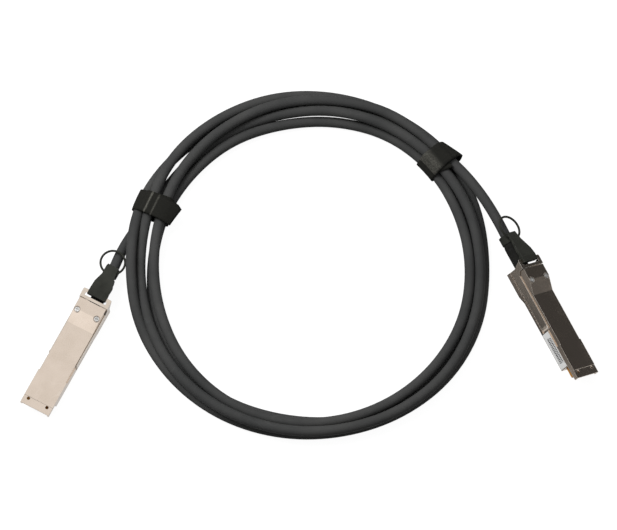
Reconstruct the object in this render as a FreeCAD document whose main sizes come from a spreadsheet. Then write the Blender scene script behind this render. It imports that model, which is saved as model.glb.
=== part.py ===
import FreeCAD, Part
import math
import os
import re

import Sketcher
from FreeCAD import Placement, Rotation, Vector

# Direct attach copper cable: 2.8 m of 6 mm twinax cord wound into a flat coil, a pluggable
# module on each end, and two hook-and-loop straps round the coil.
#
# Every module is drawn once in its own frame and placed twice. In that frame the mating nose is
# at y = 0 and points along -Y, the cord leaves along +Y, X runs across the width and the flat
# underside of the nose is at z = 0. Lengths are millimetres and angles degrees.

SIZES = {
    # housing, outside
    "nose_width": 18.35, "lid_width": 16.9, "plug_height": 8.5, "parting_height": 5.7,
    "skirt_length": 22, "lead_in_length": 5, "lead_in_drop": 0.25,
    "ramp_start": 54.6, "ramp_end": 63.3, "hump_height": 11.6, "lid_end": 70.4,
    "tray_front": 9, "tray_width": 18.14, "tray_end": 73.5, "ledge_height": 1.4,
    "waist_start": 33, "sole_depth": 1.3, "sole_start": 54, "sole_full": 58.5,
    # housing, inside
    "floor_height": 1.2, "roof_underside": 7.5, "wall_thickness": 1.1, "hump_roof": 1.2,
    "channel_width": 8.6, "channel_start": 45.4, "clamp_start": 60.5, "rear_wall_start": 69.5,
    "rail_width": 1, "window_diameter": 1.9, "window_spacing": 12, "window_place": 3.9,
    # paddle card
    "card_front": 2.5, "card_end": 45.2, "card_bottom": 3.2, "card_thickness": 1,
    "card_width": 15.8, "card_waist": 31.7, "card_tail_width": 13.7,
    "pad_count": 19, "pad_pitch": 0.8, "pad_width": 0.5, "pad_length": 2.4, "pad_thickness": 0.05,
    "chip_side": 3, "chip_height": 0.9, "chip_place": 20,
    # cord, clamp and boot
    "cable_diameter": 6, "cable_height": 4, "cable_seat": 63.5, "fit_gap": 0.05,
    "ferrule_front": 62, "ferrule_end": 67, "clamp_radius": 3.95,
    "flange_start": 67.2, "flange_end": 69.3, "outlet_radius": 3.8,
    "boot_neck_radius": 3.7, "boot_radius": 4.1, "boot_tip_radius": 3.6, "boot_end": 89.5,
    "pair_radius": 0.6, "pair_reach": 42.5,
    # release slider
    "arm_outside": 9.05, "sheet_thickness": 0.5, "arm_tip": 33.8, "arm_bottom": 2, "arm_top": 6.9,
    "arm_rise": 68.3, "bar_front": 70.8, "bar_end": 76.5, "bar_corner": 0.85,
    "slot_front": 72.6, "slot_end": 74.4, "slot_width": 13.5, "side_foot": 73.4,
    "side_knee": 5.9, "side_top": 75.6, "flare": 0.35, "flare_length": 2.8,
    "lug_front": 50, "lug_thickness": 1, "lug_bottom": 3, "lug_top": 4.6, "lug_inner": 5.3,
    "travel": 2.4,
    # return springs
    "spring_place": 6.05, "spring_axis": 3.8, "spring_radius": 0.8, "spring_wire": 0.17,
    "spring_end": 60, "spring_turns": 5,
    # pull tab
    "tab_width": 11.6, "tab_front": 74, "tab_top": 12.7, "tab_under": 10, "tab_knee": 77.5,
    "tab_shoulder": 83, "tab_neck": 90.5, "tab_neck_width": 7.2, "tab_tail_width": 6.6,
    "tab_tail_top": 9.2, "tab_tail_bottom": 7.9, "collar_start": 91, "collar_end": 96,
    "collar_bore": 3.75, "collar_radius": 4.4, "ring_radius": 7.05, "ring_wire": 0.65,
    # how each tab has settled: slid along the cord, bowed up at its neck, drawn sideways
    "tab_slip_a": 0, "tab_bow_a": 0, "collar_shift_a": -0.9,
    "tab_slip_b": 1.4, "tab_bow_b": 1.2, "collar_shift_b": 0.3,
    "ring_shift_a": -2.2, "ring_place_a": 98, "ring_height_a": 7.9,
    "ring_shift_b": 1.6, "ring_place_b": 97.5, "ring_height_b": 8.6,
    # screws
    "screw_spacing": 12.6, "screw_place": 63, "screw_head": 3, "screw_head_height": 0.8,
    "screw_shank": 1.6, "screw_end": 0.6, "seat_depth": 0.9, "seat_diameter": 3.7,
    # label
    "label_start": 9.6, "label_end": 32.6, "label_bottom": 0.35, "label_top": 5.4,
    "label_thickness": 0.1,
    # coil and straps, from the middle of the coil
    "coil_x": -0.85, "coil_y": 32.89, "coil_radius": 103.8, "coil_shift_x": 1.2, "coil_shift_y": 0.5,
    "core_radius": 88.6, "core_shift_x": 1.8, "core_shift_y": -3.5, "coil_height": 12,
    "coil_edge": 4, "strap_thickness": 1.2, "strap_width": 13.6, "strap_corner": 5.2,
    "flap_length": 15, "strap_a_radius": 93.7, "strap_a_place": 159.2, "strap_a_turn": 155,
    "strap_a_span": 19.6, "strap_b_radius": 97.2, "strap_b_place": 39.6, "strap_b_turn": 40,
    "strap_b_span": 20.6,
    # where the modules lie, from the middle of the coil
    "plug_a_x": -156.2, "plug_a_y": -87.1, "plug_a_lift": -0.231, "plug_a_yaw": -28.3,
    "plug_a_pitch": 1.5, "plug_a_roll": 0,
    "plug_b_x": 155.2, "plug_b_y": -70.1, "plug_b_lift": 4.97, "plug_b_yaw": 28.2,
    "plug_b_pitch": 4.9, "plug_b_roll": 39.4,
}

# The cord's free stretches: the first points are in the module's frame, the others are measured
# from the middle of the coil. Each last point lies inside the coil.
ROUTE_A_PLUG = [(0, 63.5, 4), (0, 86, 4), (-2.2, 108.6, 3.1)]
ROUTE_A_OPEN = [(-96.2, 26.2, 4.4)]
ROUTE_B_PLUG = [(0, 63.5, 4), (0, 85.5, 4), (0.7, 107.6, 4.3)]
ROUTE_B_OPEN = [(97.6, 42.7, 14.5), (85.6, 58.5, 10.8)]
ARC_SHARE = 0.45

document = FreeCAD.newDocument("direct_attach_cable")
sheet = document.addObject("Spreadsheet::Sheet", "sizes")
for row, (name, number) in enumerate(SIZES.items(), start=1):
    sheet.set("A%d" % row, name)
    sheet.set("B%d" % row, "%g" % number)
    sheet.setAlias("B%d" % row, name)
document.recompute()

parts = []


def size(name):
    """The number in the sheet's cell of that name."""
    return float(sheet.get(name))


def bound(text):
    """The same expression with each size's name pointing at its cell."""
    return re.sub("[a-z_]+", lambda word: "sizes." + word.group() if word.group() in SIZES
                  else word.group(), text)


def pose(plug):
    """Where a module lies: turned about Z, pitched about its width, rolled about its length."""
    turn = Rotation(Vector(0, 0, 1), size("plug_%s_yaw" % plug))
    turn = turn.multiply(Rotation(Vector(1, 0, 0), size("plug_%s_pitch" % plug)))
    turn = turn.multiply(Rotation(Vector(0, 1, 0), size("plug_%s_roll" % plug)))
    place = Vector(size("coil_x") + size("plug_%s_x" % plug),
                   size("coil_y") + size("plug_%s_y" % plug), size("plug_%s_lift" % plug))
    return Placement(place, turn)


def new_body(label, place):
    """An empty body, listed for export under its label."""
    body = document.addObject("PartDesign::Body", label)
    body.Label = label
    body.Placement = place
    parts.append(body)
    return body


def new_feature(label, shape, place):
    """A piece whose shape is made by code from the sheet's numbers."""
    feature = document.addObject("Part::Feature", label)
    feature.Label = label
    feature.Shape = shape
    feature.Placement = place
    parts.append(feature)
    return feature


def new_sketch(body, plane, outlines=(), circles=(), rounded=(), offset="0"):
    """A sketch on one of the body's origin planes, moved along that plane's normal by offset.

    An outline is a closed list of corners, a circle is (x, y, radius) and a rounded rectangle
    is (left, right, bottom, top, radius), all as expressions.
    """
    sketch = body.newObject("Sketcher::SketchObject", body.Label + "_sketch")
    origin = [item for item in body.Origin.OriginFeatures if item.Role == plane][0]
    sketch.AttachmentSupport = (origin, [""])
    sketch.MapMode = "FlatFace"
    sketch.setExpression("AttachmentOffset.Base.z", bound(offset))

    def pin(kind, guess, text, *where):
        number = sketch.addConstraint(Sketcher.Constraint(kind, *where, guess))
        sketch.setExpression("Constraints[%d]" % number, bound(text))

    for outline in outlines:
        first = sketch.GeometryCount
        count = len(outline)
        guess = [Vector(math.cos(2 * math.pi * i / count), math.sin(2 * math.pi * i / count), 0)
                 for i in range(count)]
        for i in range(count):
            sketch.addGeometry(Part.LineSegment(guess[i], guess[(i + 1) % count]), False)
        for i, (across, up) in enumerate(outline):
            following = first + (i + 1) % count
            sketch.addConstraint(Sketcher.Constraint("Coincident", first + i, 2, following, 1))
            pin("DistanceX", guess[i].x, across, -1, 1, first + i, 1)
            pin("DistanceY", guess[i].y, up, -1, 1, first + i, 1)
    for across, up, radius in circles:
        number = sketch.addGeometry(Part.Circle(Vector(1, 1, 0), Vector(0, 0, 1), 1), False)
        pin("DistanceX", 1, across, -1, 1, number, 3)
        pin("DistanceY", 1, up, -1, 1, number, 3)
        pin("Radius", 1, radius, number)
    for left, right, bottom, top, radius in rounded:
        first = sketch.GeometryCount
        ends = [Vector(8, -9, 0), Vector(9, 8, 0), Vector(-8, 9, 0), Vector(-9, -8, 0)]
        starts = [Vector(-8, -9, 0), Vector(9, -8, 0), Vector(8, 9, 0), Vector(-9, 8, 0)]
        for start, end in zip(starts, ends):
            sketch.addGeometry(Part.LineSegment(start, end), False)
        for quarter, (across, up) in enumerate([(8, -8), (8, 8), (-8, 8), (-8, -8)]):
            circle = Part.Circle(Vector(across, up, 0), Vector(0, 0, 1), 1)
            turn = (quarter - 1) * math.pi / 2
            corner = sketch.addGeometry(Part.ArcOfCircle(circle, turn, turn + math.pi / 2), False)
            following = first + (quarter + 1) % 4
            sketch.addConstraint(Sketcher.Constraint("Tangent", first + quarter, 2, corner, 1))
            sketch.addConstraint(Sketcher.Constraint("Tangent", corner, 2, following, 1))
            direction = "Horizontal" if quarter % 2 == 0 else "Vertical"
            sketch.addConstraint(Sketcher.Constraint(direction, first + quarter))
            if quarter:
                sketch.addConstraint(Sketcher.Constraint("Equal", first + 4, corner))
        pin("Radius", 1, radius, first + 4)
        pin("DistanceY", -9, bottom, -1, 1, first, 1)
        pin("DistanceX", 9, right, -1, 1, first + 1, 1)
        pin("DistanceY", 9, top, -1, 1, first + 2, 1)
        pin("DistanceX", -9, left, -1, 1, first + 3, 1)
    return sketch


def add(body, kind, sketch, length=None, symmetric=False, backwards=False):
    """A pad or pocket of a sketch. With no length it goes through everything."""
    feature = body.newObject("PartDesign::" + kind, body.Label + "_" + kind.lower())
    feature.Profile = sketch
    if symmetric:
        feature.SideType = "Symmetric"
    feature.Reversed = backwards
    if length is None:
        feature.Type = "ThroughAll"
    else:
        feature.setExpression("Length", bound(length))
    document.recompute()
    return feature


def revolve(body, outline, height):
    """The outline, drawn beside the body's Y axis in (distance, y), turned about the line
    at that height above it."""
    sketch = new_sketch(body, "XY_Plane", [outline], offset=height)
    turned = body.newObject("PartDesign::Revolution", body.Label + "_revolution")
    turned.Profile = sketch
    turned.ReferenceAxis = (sketch, ["V_Axis"])
    turned.Angle = 360
    document.recompute()
    return turned


def dress(body, kind, picked, text):
    """A fillet or chamfer on the edges of the body's last feature that `picked` accepts."""
    base = body.Tip
    names = ["Edge%d" % number for number, edge in enumerate(base.Shape.Edges, start=1)
             if picked(edge)]
    feature = body.newObject("PartDesign::" + kind, body.Label + "_" + kind.lower())
    feature.Base = (base, names)
    feature.setExpression("Radius" if kind == "Fillet" else "Size", bound(text))
    document.recompute()
    return feature


def box_outline(left, right, bottom, top):
    """The four corners of a rectangle, as expressions."""
    return [(left, bottom), (right, bottom), (right, top), (left, top)]


def half_outline(corners):
    """A symmetric outline from its corners on the +X side, listed from front to back."""
    mirrored = [("-(%s)" % across, along) for across, along in reversed(corners)]
    return corners + mirrored


def rounded_path(points):
    """Straight runs joined by tangent arcs, and each arc's turn and radius. An arc takes 0.45 of
    the shorter of its two runs, so its radius is that length over the tangent of half the turn."""
    edges = []
    arcs = []
    here = points[0]
    for before, corner, after in zip(points, points[1:], points[2:]):
        inward = (corner - before).normalize()
        outward = (after - corner).normalize()
        half_turn = inward.getAngle(outward) / 2
        reach = ARC_SHARE * min((corner - before).Length, (after - corner).Length)
        radius = reach / math.tan(half_turn)
        arcs.append((math.degrees(2 * half_turn), radius))
        start = corner - inward * reach
        end = corner + outward * reach
        middle = corner + (outward - inward).normalize() * (radius / math.cos(half_turn) - radius)
        edges.append(Part.LineSegment(here, start).toShape())
        edges.append(Part.Arc(start, middle, end).toShape())
        here = end
    edges.append(Part.LineSegment(here, points[-1]).toShape())
    return Part.Wire(edges), arcs


def swept_tube(path, radius, points):
    """A round bar of that radius along the path."""
    ring = Part.Wire(Part.makeCircle(radius, points[0], points[1] - points[0]))
    return path.makePipeShell([ring], True, True)


def make_lid(plug, place):
    """The upper shell: roof, nose skirt, ramp and hump, hollow underneath and open at the nose."""
    body = new_body("upper_shell_" + plug, place)
    side = [("0", "parting_height"), ("0", "plug_height - lead_in_drop"),
            ("lead_in_length", "plug_height - lead_in_drop"), ("lead_in_length", "plug_height"),
            ("ramp_start", "plug_height"), ("ramp_end", "hump_height"),
            ("lid_end", "hump_height"), ("lid_end", "parting_height")]
    add(body, "Pad", new_sketch(body, "YZ_Plane", [side]), "nose_width", symmetric=True)
    flanks = [box_outline(sign + "(lid_width / 2)", sign + "nose_width", "skirt_length",
                          "lid_end + 1") for sign in ("", "-")]
    add(body, "Pocket", new_sketch(body, "XY_Plane", flanks, offset="hump_height + 1"))
    cavity = half_outline([
        ("nose_width / 2 - wall_thickness", "-1"),
        ("nose_width / 2 - wall_thickness", "skirt_length - wall_thickness"),
        ("lid_width / 2 - wall_thickness", "skirt_length - wall_thickness"),
        ("lid_width / 2 - wall_thickness", "clamp_start"),
        ("channel_width / 2", "clamp_start"), ("channel_width / 2", "rear_wall_start")])
    add(body, "Pocket", new_sketch(body, "XY_Plane", [cavity], offset="roof_underside"),
        "roof_underside")
    attic = [("ramp_start", "roof_underside - 1"), ("ramp_start", "roof_underside"),
             ("ramp_end", "hump_height - hump_roof"), ("rear_wall_start", "hump_height - hump_roof"),
             ("rear_wall_start", "roof_underside - 1")]
    add(body, "Pocket", new_sketch(body, "YZ_Plane", [attic]), "channel_width", symmetric=True)
    outlet = new_sketch(body, "XZ_Plane", circles=[("0", "cable_height", "outlet_radius")],
                        offset="-(rear_wall_start - 1)")
    add(body, "Pocket", outlet)
    windows = [("%s(window_spacing / 2)" % sign, "window_place", "window_diameter / 2")
               for sign in ("", "-")]
    add(body, "Pocket", new_sketch(body, "XY_Plane", circles=windows, offset="plug_height"),
        "plug_height - roof_underside + 0.5")
    shanks = [("%s(screw_spacing / 2)" % sign, "screw_place", "screw_shank / 2 + fit_gap")
              for sign in ("", "-")]
    add(body, "Pocket", new_sketch(body, "XY_Plane", circles=shanks, offset="hump_height"))
    seats = [("%s(screw_spacing / 2)" % sign, "screw_place", "seat_diameter / 2")
             for sign in ("", "-")]
    add(body, "Pocket", new_sketch(body, "XY_Plane", circles=seats, offset="hump_height"),
        "seat_depth")


def make_tray(plug, place):
    """The lower shell: a tray with card rails, spring pockets, a cord channel and a thick sole."""
    body = new_body("lower_shell_" + plug, place)
    side = [("tray_front", "0"), ("tray_front", "parting_height"), ("tray_end", "parting_height"),
            ("tray_end", "-sole_depth"), ("sole_full", "-sole_depth"), ("sole_start", "0")]
    add(body, "Pad", new_sketch(body, "YZ_Plane", [side]), "tray_width", symmetric=True)
    flanks = [box_outline(sign + "(lid_width / 2)", sign + "nose_width", "ledge_height",
                          "plug_height") for sign in ("", "-")]
    add(body, "Pocket", new_sketch(body, "XZ_Plane", flanks, offset="-waist_start"))
    upper = half_outline([
        ("tray_width / 2 - wall_thickness", "tray_front - 1"),
        ("tray_width / 2 - wall_thickness", "waist_start - wall_thickness"),
        ("lid_width / 2 - wall_thickness", "waist_start - wall_thickness"),
        ("lid_width / 2 - wall_thickness", "channel_start"), ("channel_width / 2", "channel_start"),
        ("channel_width / 2", "rear_wall_start")])
    add(body, "Pocket", new_sketch(body, "XY_Plane", [upper], offset="parting_height"),
        "parting_height - card_bottom")
    lower = half_outline([
        ("tray_width / 2 - wall_thickness - rail_width", "tray_front - 1"),
        ("tray_width / 2 - wall_thickness - rail_width", "waist_start - wall_thickness"),
        ("channel_width / 2", "waist_start - wall_thickness"),
        ("channel_width / 2", "rear_wall_start")])
    add(body, "Pocket", new_sketch(body, "XY_Plane", [lower], offset="parting_height"),
        "parting_height - floor_height")
    bed = box_outline("-channel_width / 2", "channel_width / 2", "clamp_start", "rear_wall_start")
    add(body, "Pocket", new_sketch(body, "XY_Plane", [bed], offset="parting_height"),
        "parting_height - cable_height + clamp_radius")
    springs = [box_outline(sign + "(spring_place - 1.1)", sign + "(spring_place + 1.1)",
                           "lug_front - 0.3", "spring_end") for sign in ("", "-")]
    add(body, "Pocket", new_sketch(body, "XY_Plane", springs, offset="parting_height"),
        "parting_height - floor_height - 1")
    slots = [box_outline(sign + "(spring_place)", sign + "nose_width", "lug_front - 0.3",
                         "lug_front + lug_thickness + travel + 0.3") for sign in ("", "-")]
    add(body, "Pocket", new_sketch(body, "XY_Plane", slots, offset="parting_height"),
        "parting_height - lug_bottom + 0.3")
    outlet = new_sketch(body, "XZ_Plane", circles=[("0", "cable_height", "outlet_radius")],
                        offset="-(rear_wall_start - 1)")
    add(body, "Pocket", outlet)
    threads = [("%s(screw_spacing / 2)" % sign, "screw_place", "screw_shank / 2 + fit_gap")
               for sign in ("", "-")]
    add(body, "Pocket", new_sketch(body, "XY_Plane", circles=threads, offset="parting_height"),
        "parting_height - screw_end")


def make_slider(plug, place):
    """The release slider: one folded steel sheet, a slotted bar across and an arm down each side,
    with flared tips and a lug that presses on each return spring."""
    body = new_body("release_slider_" + plug, place)
    side = [("arm_tip", "arm_bottom + 0.4"), ("arm_tip", "arm_top"), ("arm_rise", "arm_top"),
            ("bar_front", "arm_top + 2"), ("bar_front", "hump_height"), ("bar_end", "hump_height"),
            ("bar_end", "hump_height - sheet_thickness"),
            ("side_top", "hump_height - sheet_thickness"), ("side_foot", "side_knee"),
            ("side_foot", "arm_bottom"), ("arm_tip + 2", "arm_bottom")]
    add(body, "Pad", new_sketch(body, "YZ_Plane", [side]), "2 * arm_outside", symmetric=True)
    inside = box_outline("arm_tip - 1", "bar_end + 1", "-1", "hump_height - sheet_thickness")
    add(body, "Pocket", new_sketch(body, "YZ_Plane", [inside]),
        "2 * (arm_outside - sheet_thickness)", symmetric=True)
    dress(body, "Fillet", lambda edge: abs(edge.Length - size("sheet_thickness")) < 0.01
          and abs(edge.CenterOfMass.y - size("bar_end")) < 0.01, "bar_corner")
    slot = box_outline("-slot_width / 2", "slot_width / 2", "slot_front", "slot_end")
    add(body, "Pocket", new_sketch(body, "XY_Plane", [slot], offset="hump_height + 1"))
    flares = [[(sign + "(arm_outside - 0.1)", "arm_tip"),
               (sign + "(arm_outside + flare)", "arm_tip + 0.8"),
               (sign + "(arm_outside - 0.1)", "arm_tip + flare_length")] for sign in ("", "-")]
    add(body, "Pad", new_sketch(body, "XY_Plane", flares, offset="arm_bottom + 0.6"),
        "arm_top - arm_bottom - 0.8")
    lugs = [box_outline(sign + "(lug_inner)", sign + "(arm_outside - 0.1)", "lug_front",
                        "lug_front + lug_thickness") for sign in ("", "-")]
    add(body, "Pad", new_sketch(body, "XY_Plane", lugs, offset="lug_bottom"),
        "lug_top - lug_bottom")


def make_tab(plug, place):
    """The moulded pull tab: an eye round the slider's bar, a strap with shoulders, a collar
    that slides on the cord, and a finger ring."""
    body = new_body("pull_tab_" + plug, place)
    neck = "tab_neck - tab_slip_" + plug
    end = "collar_end - tab_slip_" + plug
    bow = " + tab_bow_" + plug
    side = [("tab_front", "tab_under"), ("tab_front", "tab_top"), ("tab_knee", "tab_top"),
            (neck, "tab_tail_top" + bow), (end, "tab_tail_top"), (end, "tab_tail_bottom"),
            (neck, "tab_tail_bottom" + bow), ("tab_knee + 1", "tab_under + 1.1"),
            ("tab_knee + 0.6", "tab_under")]
    eye = box_outline("slot_end", "bar_end", "hump_height - sheet_thickness", "hump_height")
    add(body, "Pad", new_sketch(body, "YZ_Plane", [side, eye]), "tab_width", symmetric=True)
    shift = " + collar_shift_" + plug
    shoulder = "tab_shoulder - tab_slip_" + plug
    shoulders = [[(sign + "(tab_width / 2)", shoulder),
                  (sign + "(tab_neck_width / 2)" + shift + " / 2", neck),
                  (sign + "(tab_tail_width / 2)" + shift, end + " + 1"),
                  (sign + "(tab_width)", end + " + 1"),
                  (sign + "(tab_width)", shoulder)] for sign in ("", "-")]
    add(body, "Pocket", new_sketch(body, "XY_Plane", shoulders, offset="tab_top + 1"))
    collar = new_sketch(body, "XZ_Plane", offset="-(%s)" % end,
                        circles=[("collar_shift_" + plug, "cable_height", "collar_radius"),
                                 ("collar_shift_" + plug, "cable_height", "collar_bore")])
    add(body, "Pad", collar, "collar_end - collar_start")
    ring = body.newObject("PartDesign::AdditiveTorus", body.Label + "_ring")
    ring.setExpression("Radius1", bound("ring_radius"))
    ring.setExpression("Radius2", bound("ring_wire"))
    ring.AttachmentSupport = ([item for item in body.Origin.OriginFeatures
                               if item.Role == "XY_Plane"][0], [""])
    ring.MapMode = "FlatFace"
    ring.setExpression("AttachmentOffset.Base.x", bound("ring_shift_" + plug))
    ring.setExpression("AttachmentOffset.Base.y", bound("ring_place_" + plug))
    ring.setExpression("AttachmentOffset.Base.z", bound("ring_height_" + plug))
    document.recompute()


def make_card(plug, place):
    """The paddle card, wide where it mates and narrow between the slider's arms."""
    body = new_body("paddle_card_" + plug, place)
    outline = half_outline([("card_width / 2 - 0.5", "card_front"),
                            ("card_width / 2", "card_front + 0.5"), ("card_width / 2", "card_waist"),
                            ("card_tail_width / 2", "card_waist"),
                            ("card_tail_width / 2", "card_end")])
    add(body, "Pad", new_sketch(body, "XY_Plane", [outline], offset="card_bottom"),
        "card_thickness")


def make_contacts(plug, place):
    """The gold contact pads, a row on each face of the card."""
    pads = []
    middle = (size("pad_count") - 1) / 2
    for height in (size("card_bottom") - size("pad_thickness"),
                   size("card_bottom") + size("card_thickness")):
        for number in range(int(size("pad_count"))):
            across = (number - middle) * size("pad_pitch") - size("pad_width") / 2
            corner = Vector(across, size("card_front") + 0.5, height)
            pads.append(Part.makeBox(size("pad_width"), size("pad_length"),
                                     size("pad_thickness"), corner))
    new_feature("contact_pads_" + plug, Part.makeCompound(pads), place)


def make_chip(plug, place):
    """The memory chip on top of the card."""
    body = new_body("memory_chip_" + plug, place)
    outline = box_outline("-chip_side / 2", "chip_side / 2", "chip_place", "chip_place + chip_side")
    add(body, "Pad", new_sketch(body, "XY_Plane", [outline], offset="card_bottom + card_thickness"),
        "chip_height")


def make_pairs(plug, place):
    """Eight insulated conductor pairs, four above and four below the card, from the clamp out
    to their solder pads."""
    pairs = []
    upper = size("card_bottom") + size("card_thickness") + size("pair_radius")
    lower = size("card_bottom") - size("pair_radius")
    for height, start_height in ((upper, size("cable_height") + 0.9),
                                 (lower, size("cable_height") - 0.9)):
        for lane in (-1.5, -0.5, 0.5, 1.5):
            start = Vector(lane * 1.25, size("ferrule_front") - 0.1, start_height)
            bend = Vector(lane * 2.1, size("channel_start") + 2, height)
            end = Vector(lane * 2.1, size("pair_reach"), height)
            points = [start, bend, end]
            pairs.append(swept_tube(rounded_path(points)[0], size("pair_radius"), points))
    new_feature("conductor_pairs_" + plug, Part.makeCompound(pairs), place)


def make_ferrule(plug, place):
    """The crimp ferrule on the stripped end of the cord, a cup that the cord bottoms in."""
    body = new_body("crimp_ferrule_" + plug, place)
    bore = "cable_diameter / 2 + fit_gap"
    outline = [("0", "ferrule_front"), ("clamp_radius", "ferrule_front"),
               ("clamp_radius", "ferrule_end"), (bore, "ferrule_end"), (bore, "cable_seat"),
               ("0", "cable_seat")]
    revolve(body, outline, "cable_height")


def make_boot(plug, place):
    """The strain relief boot, held by its groove in the shells' round outlet."""
    body = new_body("strain_relief_" + plug, place)
    bore = "cable_diameter / 2 + fit_gap"
    outline = [(bore, "flange_start"), ("clamp_radius", "flange_start"),
               ("clamp_radius", "flange_end"), ("boot_neck_radius", "flange_end"),
               ("boot_neck_radius", "tray_end + 0.2"), ("boot_radius", "tray_end + 0.2"),
               ("boot_radius", "boot_end - 2"), ("boot_tip_radius", "boot_end"),
               (bore, "boot_end")]
    revolve(body, outline, "cable_height")


def make_springs(plug, place):
    """The two return springs, one behind each lug of the slider."""
    front = size("lug_front") + size("lug_thickness") + size("spring_wire")
    length = size("spring_end") - size("spring_wire") - front
    springs = []
    for side in (-1, 1):
        helix = Part.makeHelix(length / size("spring_turns"), length, size("spring_radius"))
        wire = size("spring_wire")
        start = Vector(size("spring_radius"), 0, 0)
        corners = [start + Vector(wire * math.cos(turn), 0, wire * math.sin(turn))
                   for turn in (math.pi * k / 3 for k in range(7))]
        spring = Part.Wire(helix).makePipeShell([Part.makePolygon(corners)], True, True)
        spring.rotate(Vector(0, 0, 0), Vector(1, 0, 0), -90)
        spring.translate(Vector(side * size("spring_place"), front, size("spring_axis")))
        springs.append(spring)
    new_feature("return_springs_" + plug, Part.makeCompound(springs), place)


def make_screws(plug, place):
    """The two cross-head screws that hold the shells together."""
    screws = []
    seat = size("hump_height") - size("seat_depth")
    for side in (-1, 1):
        across = side * size("screw_spacing") / 2
        head = Part.makeCylinder(size("screw_head") / 2, size("screw_head_height"),
                                 Vector(across, size("screw_place"), seat))
        shank = Part.makeCylinder(size("screw_shank") / 2, seat - size("screw_end"),
                                  Vector(across, size("screw_place"), size("screw_end")))
        screw = head.fuse(shank).removeSplitter()
        top = seat + size("screw_head_height") - 0.45
        for long_side, short_side in ((1.8, 0.4), (0.4, 1.8)):
            corner = Vector(across - long_side / 2, size("screw_place") - short_side / 2, top)
            screw = screw.cut(Part.makeBox(long_side, short_side, 1, corner))
        screws.append(screw)
    new_feature("shell_screws_" + plug, Part.makeCompound(screws), place)


def make_label(plug, place):
    """The paper label on the tray's -X wall."""
    body = new_body("side_label_" + plug, place)
    outline = box_outline("label_start", "label_end", "label_bottom", "label_top")
    sketch = new_sketch(body, "YZ_Plane", [outline], offset="-tray_width / 2")
    add(body, "Pad", sketch, "label_thickness", backwards=True)


def make_coil():
    """The closed outer shape of the wound cord: narrower at the front, where its turns are
    pressed together."""
    middle = Placement(Vector(size("coil_x"), size("coil_y"), 0), Rotation())
    body = new_body("cable_coil", middle)
    rings = [("coil_shift_x", "coil_shift_y", "coil_radius"),
             ("core_shift_x", "core_shift_y", "core_radius")]
    add(body, "Pad", new_sketch(body, "XY_Plane", circles=rings, offset="strap_thickness"),
        "coil_height")
    dress(body, "Fillet", lambda edge: edge.Length > 400, "coil_edge")
    return body


def make_strap(side, name):
    """A hook-and-loop strap closed round the coil, its end lapped over the top."""
    turn = Rotation(Vector(0, 0, 1), size("strap_%s_turn" % side))
    place = math.radians(size("strap_%s_place" % side))
    radius = size("strap_%s_radius" % side)
    middle = Vector(size("coil_x") + radius * math.cos(place),
                    size("coil_y") + radius * math.sin(place), 0)
    body = new_body(name, Placement(middle, turn))
    half = "strap_%s_span / 2" % side
    rise = "coil_height + 2 * strap_thickness"
    outside = ("-(%s + strap_thickness)" % half, half + " + strap_thickness", "0", rise,
               "strap_corner")
    inside = ("-(%s)" % half, half, "strap_thickness", "strap_thickness + coil_height",
              "strap_corner - strap_thickness")
    band = new_sketch(body, "XZ_Plane", rounded=[outside, inside])
    add(body, "Pad", band, "strap_width", symmetric=True)
    flap = box_outline(half + " - flap_length", half + " - strap_corner", rise,
                       rise + " + strap_thickness / 2")
    add(body, "Pad", new_sketch(body, "XZ_Plane", [flap]), "strap_width", symmetric=True)


def make_lead(plug, plug_points, open_points, coil):
    """The cord's free stretch from the module's clamp to the side of the coil."""
    place = pose(plug)
    middle = Vector(size("coil_x"), size("coil_y"), 0)
    points = [place.multVec(Vector(*point)) for point in plug_points]
    points += [middle + Vector(*point) for point in open_points]
    path, arcs = rounded_path(points)
    radius = size("cable_diameter") / 2
    tube = swept_tube(path, radius, points)
    ideal = path.Length * math.pi * radius ** 2
    print("cable_lead_%s: length %.1f mm, volume %.0f of %.0f" % (plug, path.Length, tube.Volume,
                                                                  ideal))
    for turn, arc_radius in arcs:
        print("  turns %.1f degrees on a radius of %.0f mm" % (turn, arc_radius))
    outside = max(tube.cut(coil.Shape).Solids, key=lambda solid: solid.Volume)
    new_feature("cable_lead_" + plug, outside, Placement())


for plug in ("a", "b"):
    place = pose(plug)
    for make in (make_lid, make_tray, make_slider, make_tab, make_card, make_contacts, make_chip,
                 make_pairs, make_ferrule, make_boot, make_springs, make_screws):
        make(plug, place)
make_label("b", pose("b"))
coil = make_coil()
make_strap("a", "strap_left")
make_strap("b", "strap_right")
make_lead("a", ROUTE_A_PLUG, ROUTE_A_OPEN, coil)
make_lead("b", ROUTE_B_PLUG, ROUTE_B_OPEN, coil)

document.recompute()
for item in document.Objects:
    if "Invalid" in item.State or "Error" in item.State:
        raise RuntimeError("%s did not build: %s" % (item.Label, item.State))
for part in parts:
    if part.Shape.isNull() or not part.Shape.isValid():
        raise RuntimeError("%s has no valid shape" % part.Label)

os.makedirs("parts", exist_ok=True)
for part in parts:
    part.Shape.exportStep("parts/%s.step" % part.Label)
    reach = part.Shape.BoundBox
    print("%-20s %d solid  %9.1f mm3  z %.2f to %.2f" % (
        part.Label, len(part.Shape.Solids), part.Shape.Volume, reach.ZMin, reach.ZMax))
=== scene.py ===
import math

import bpy
import numpy as np
from mathutils import Matrix, Vector


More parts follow.
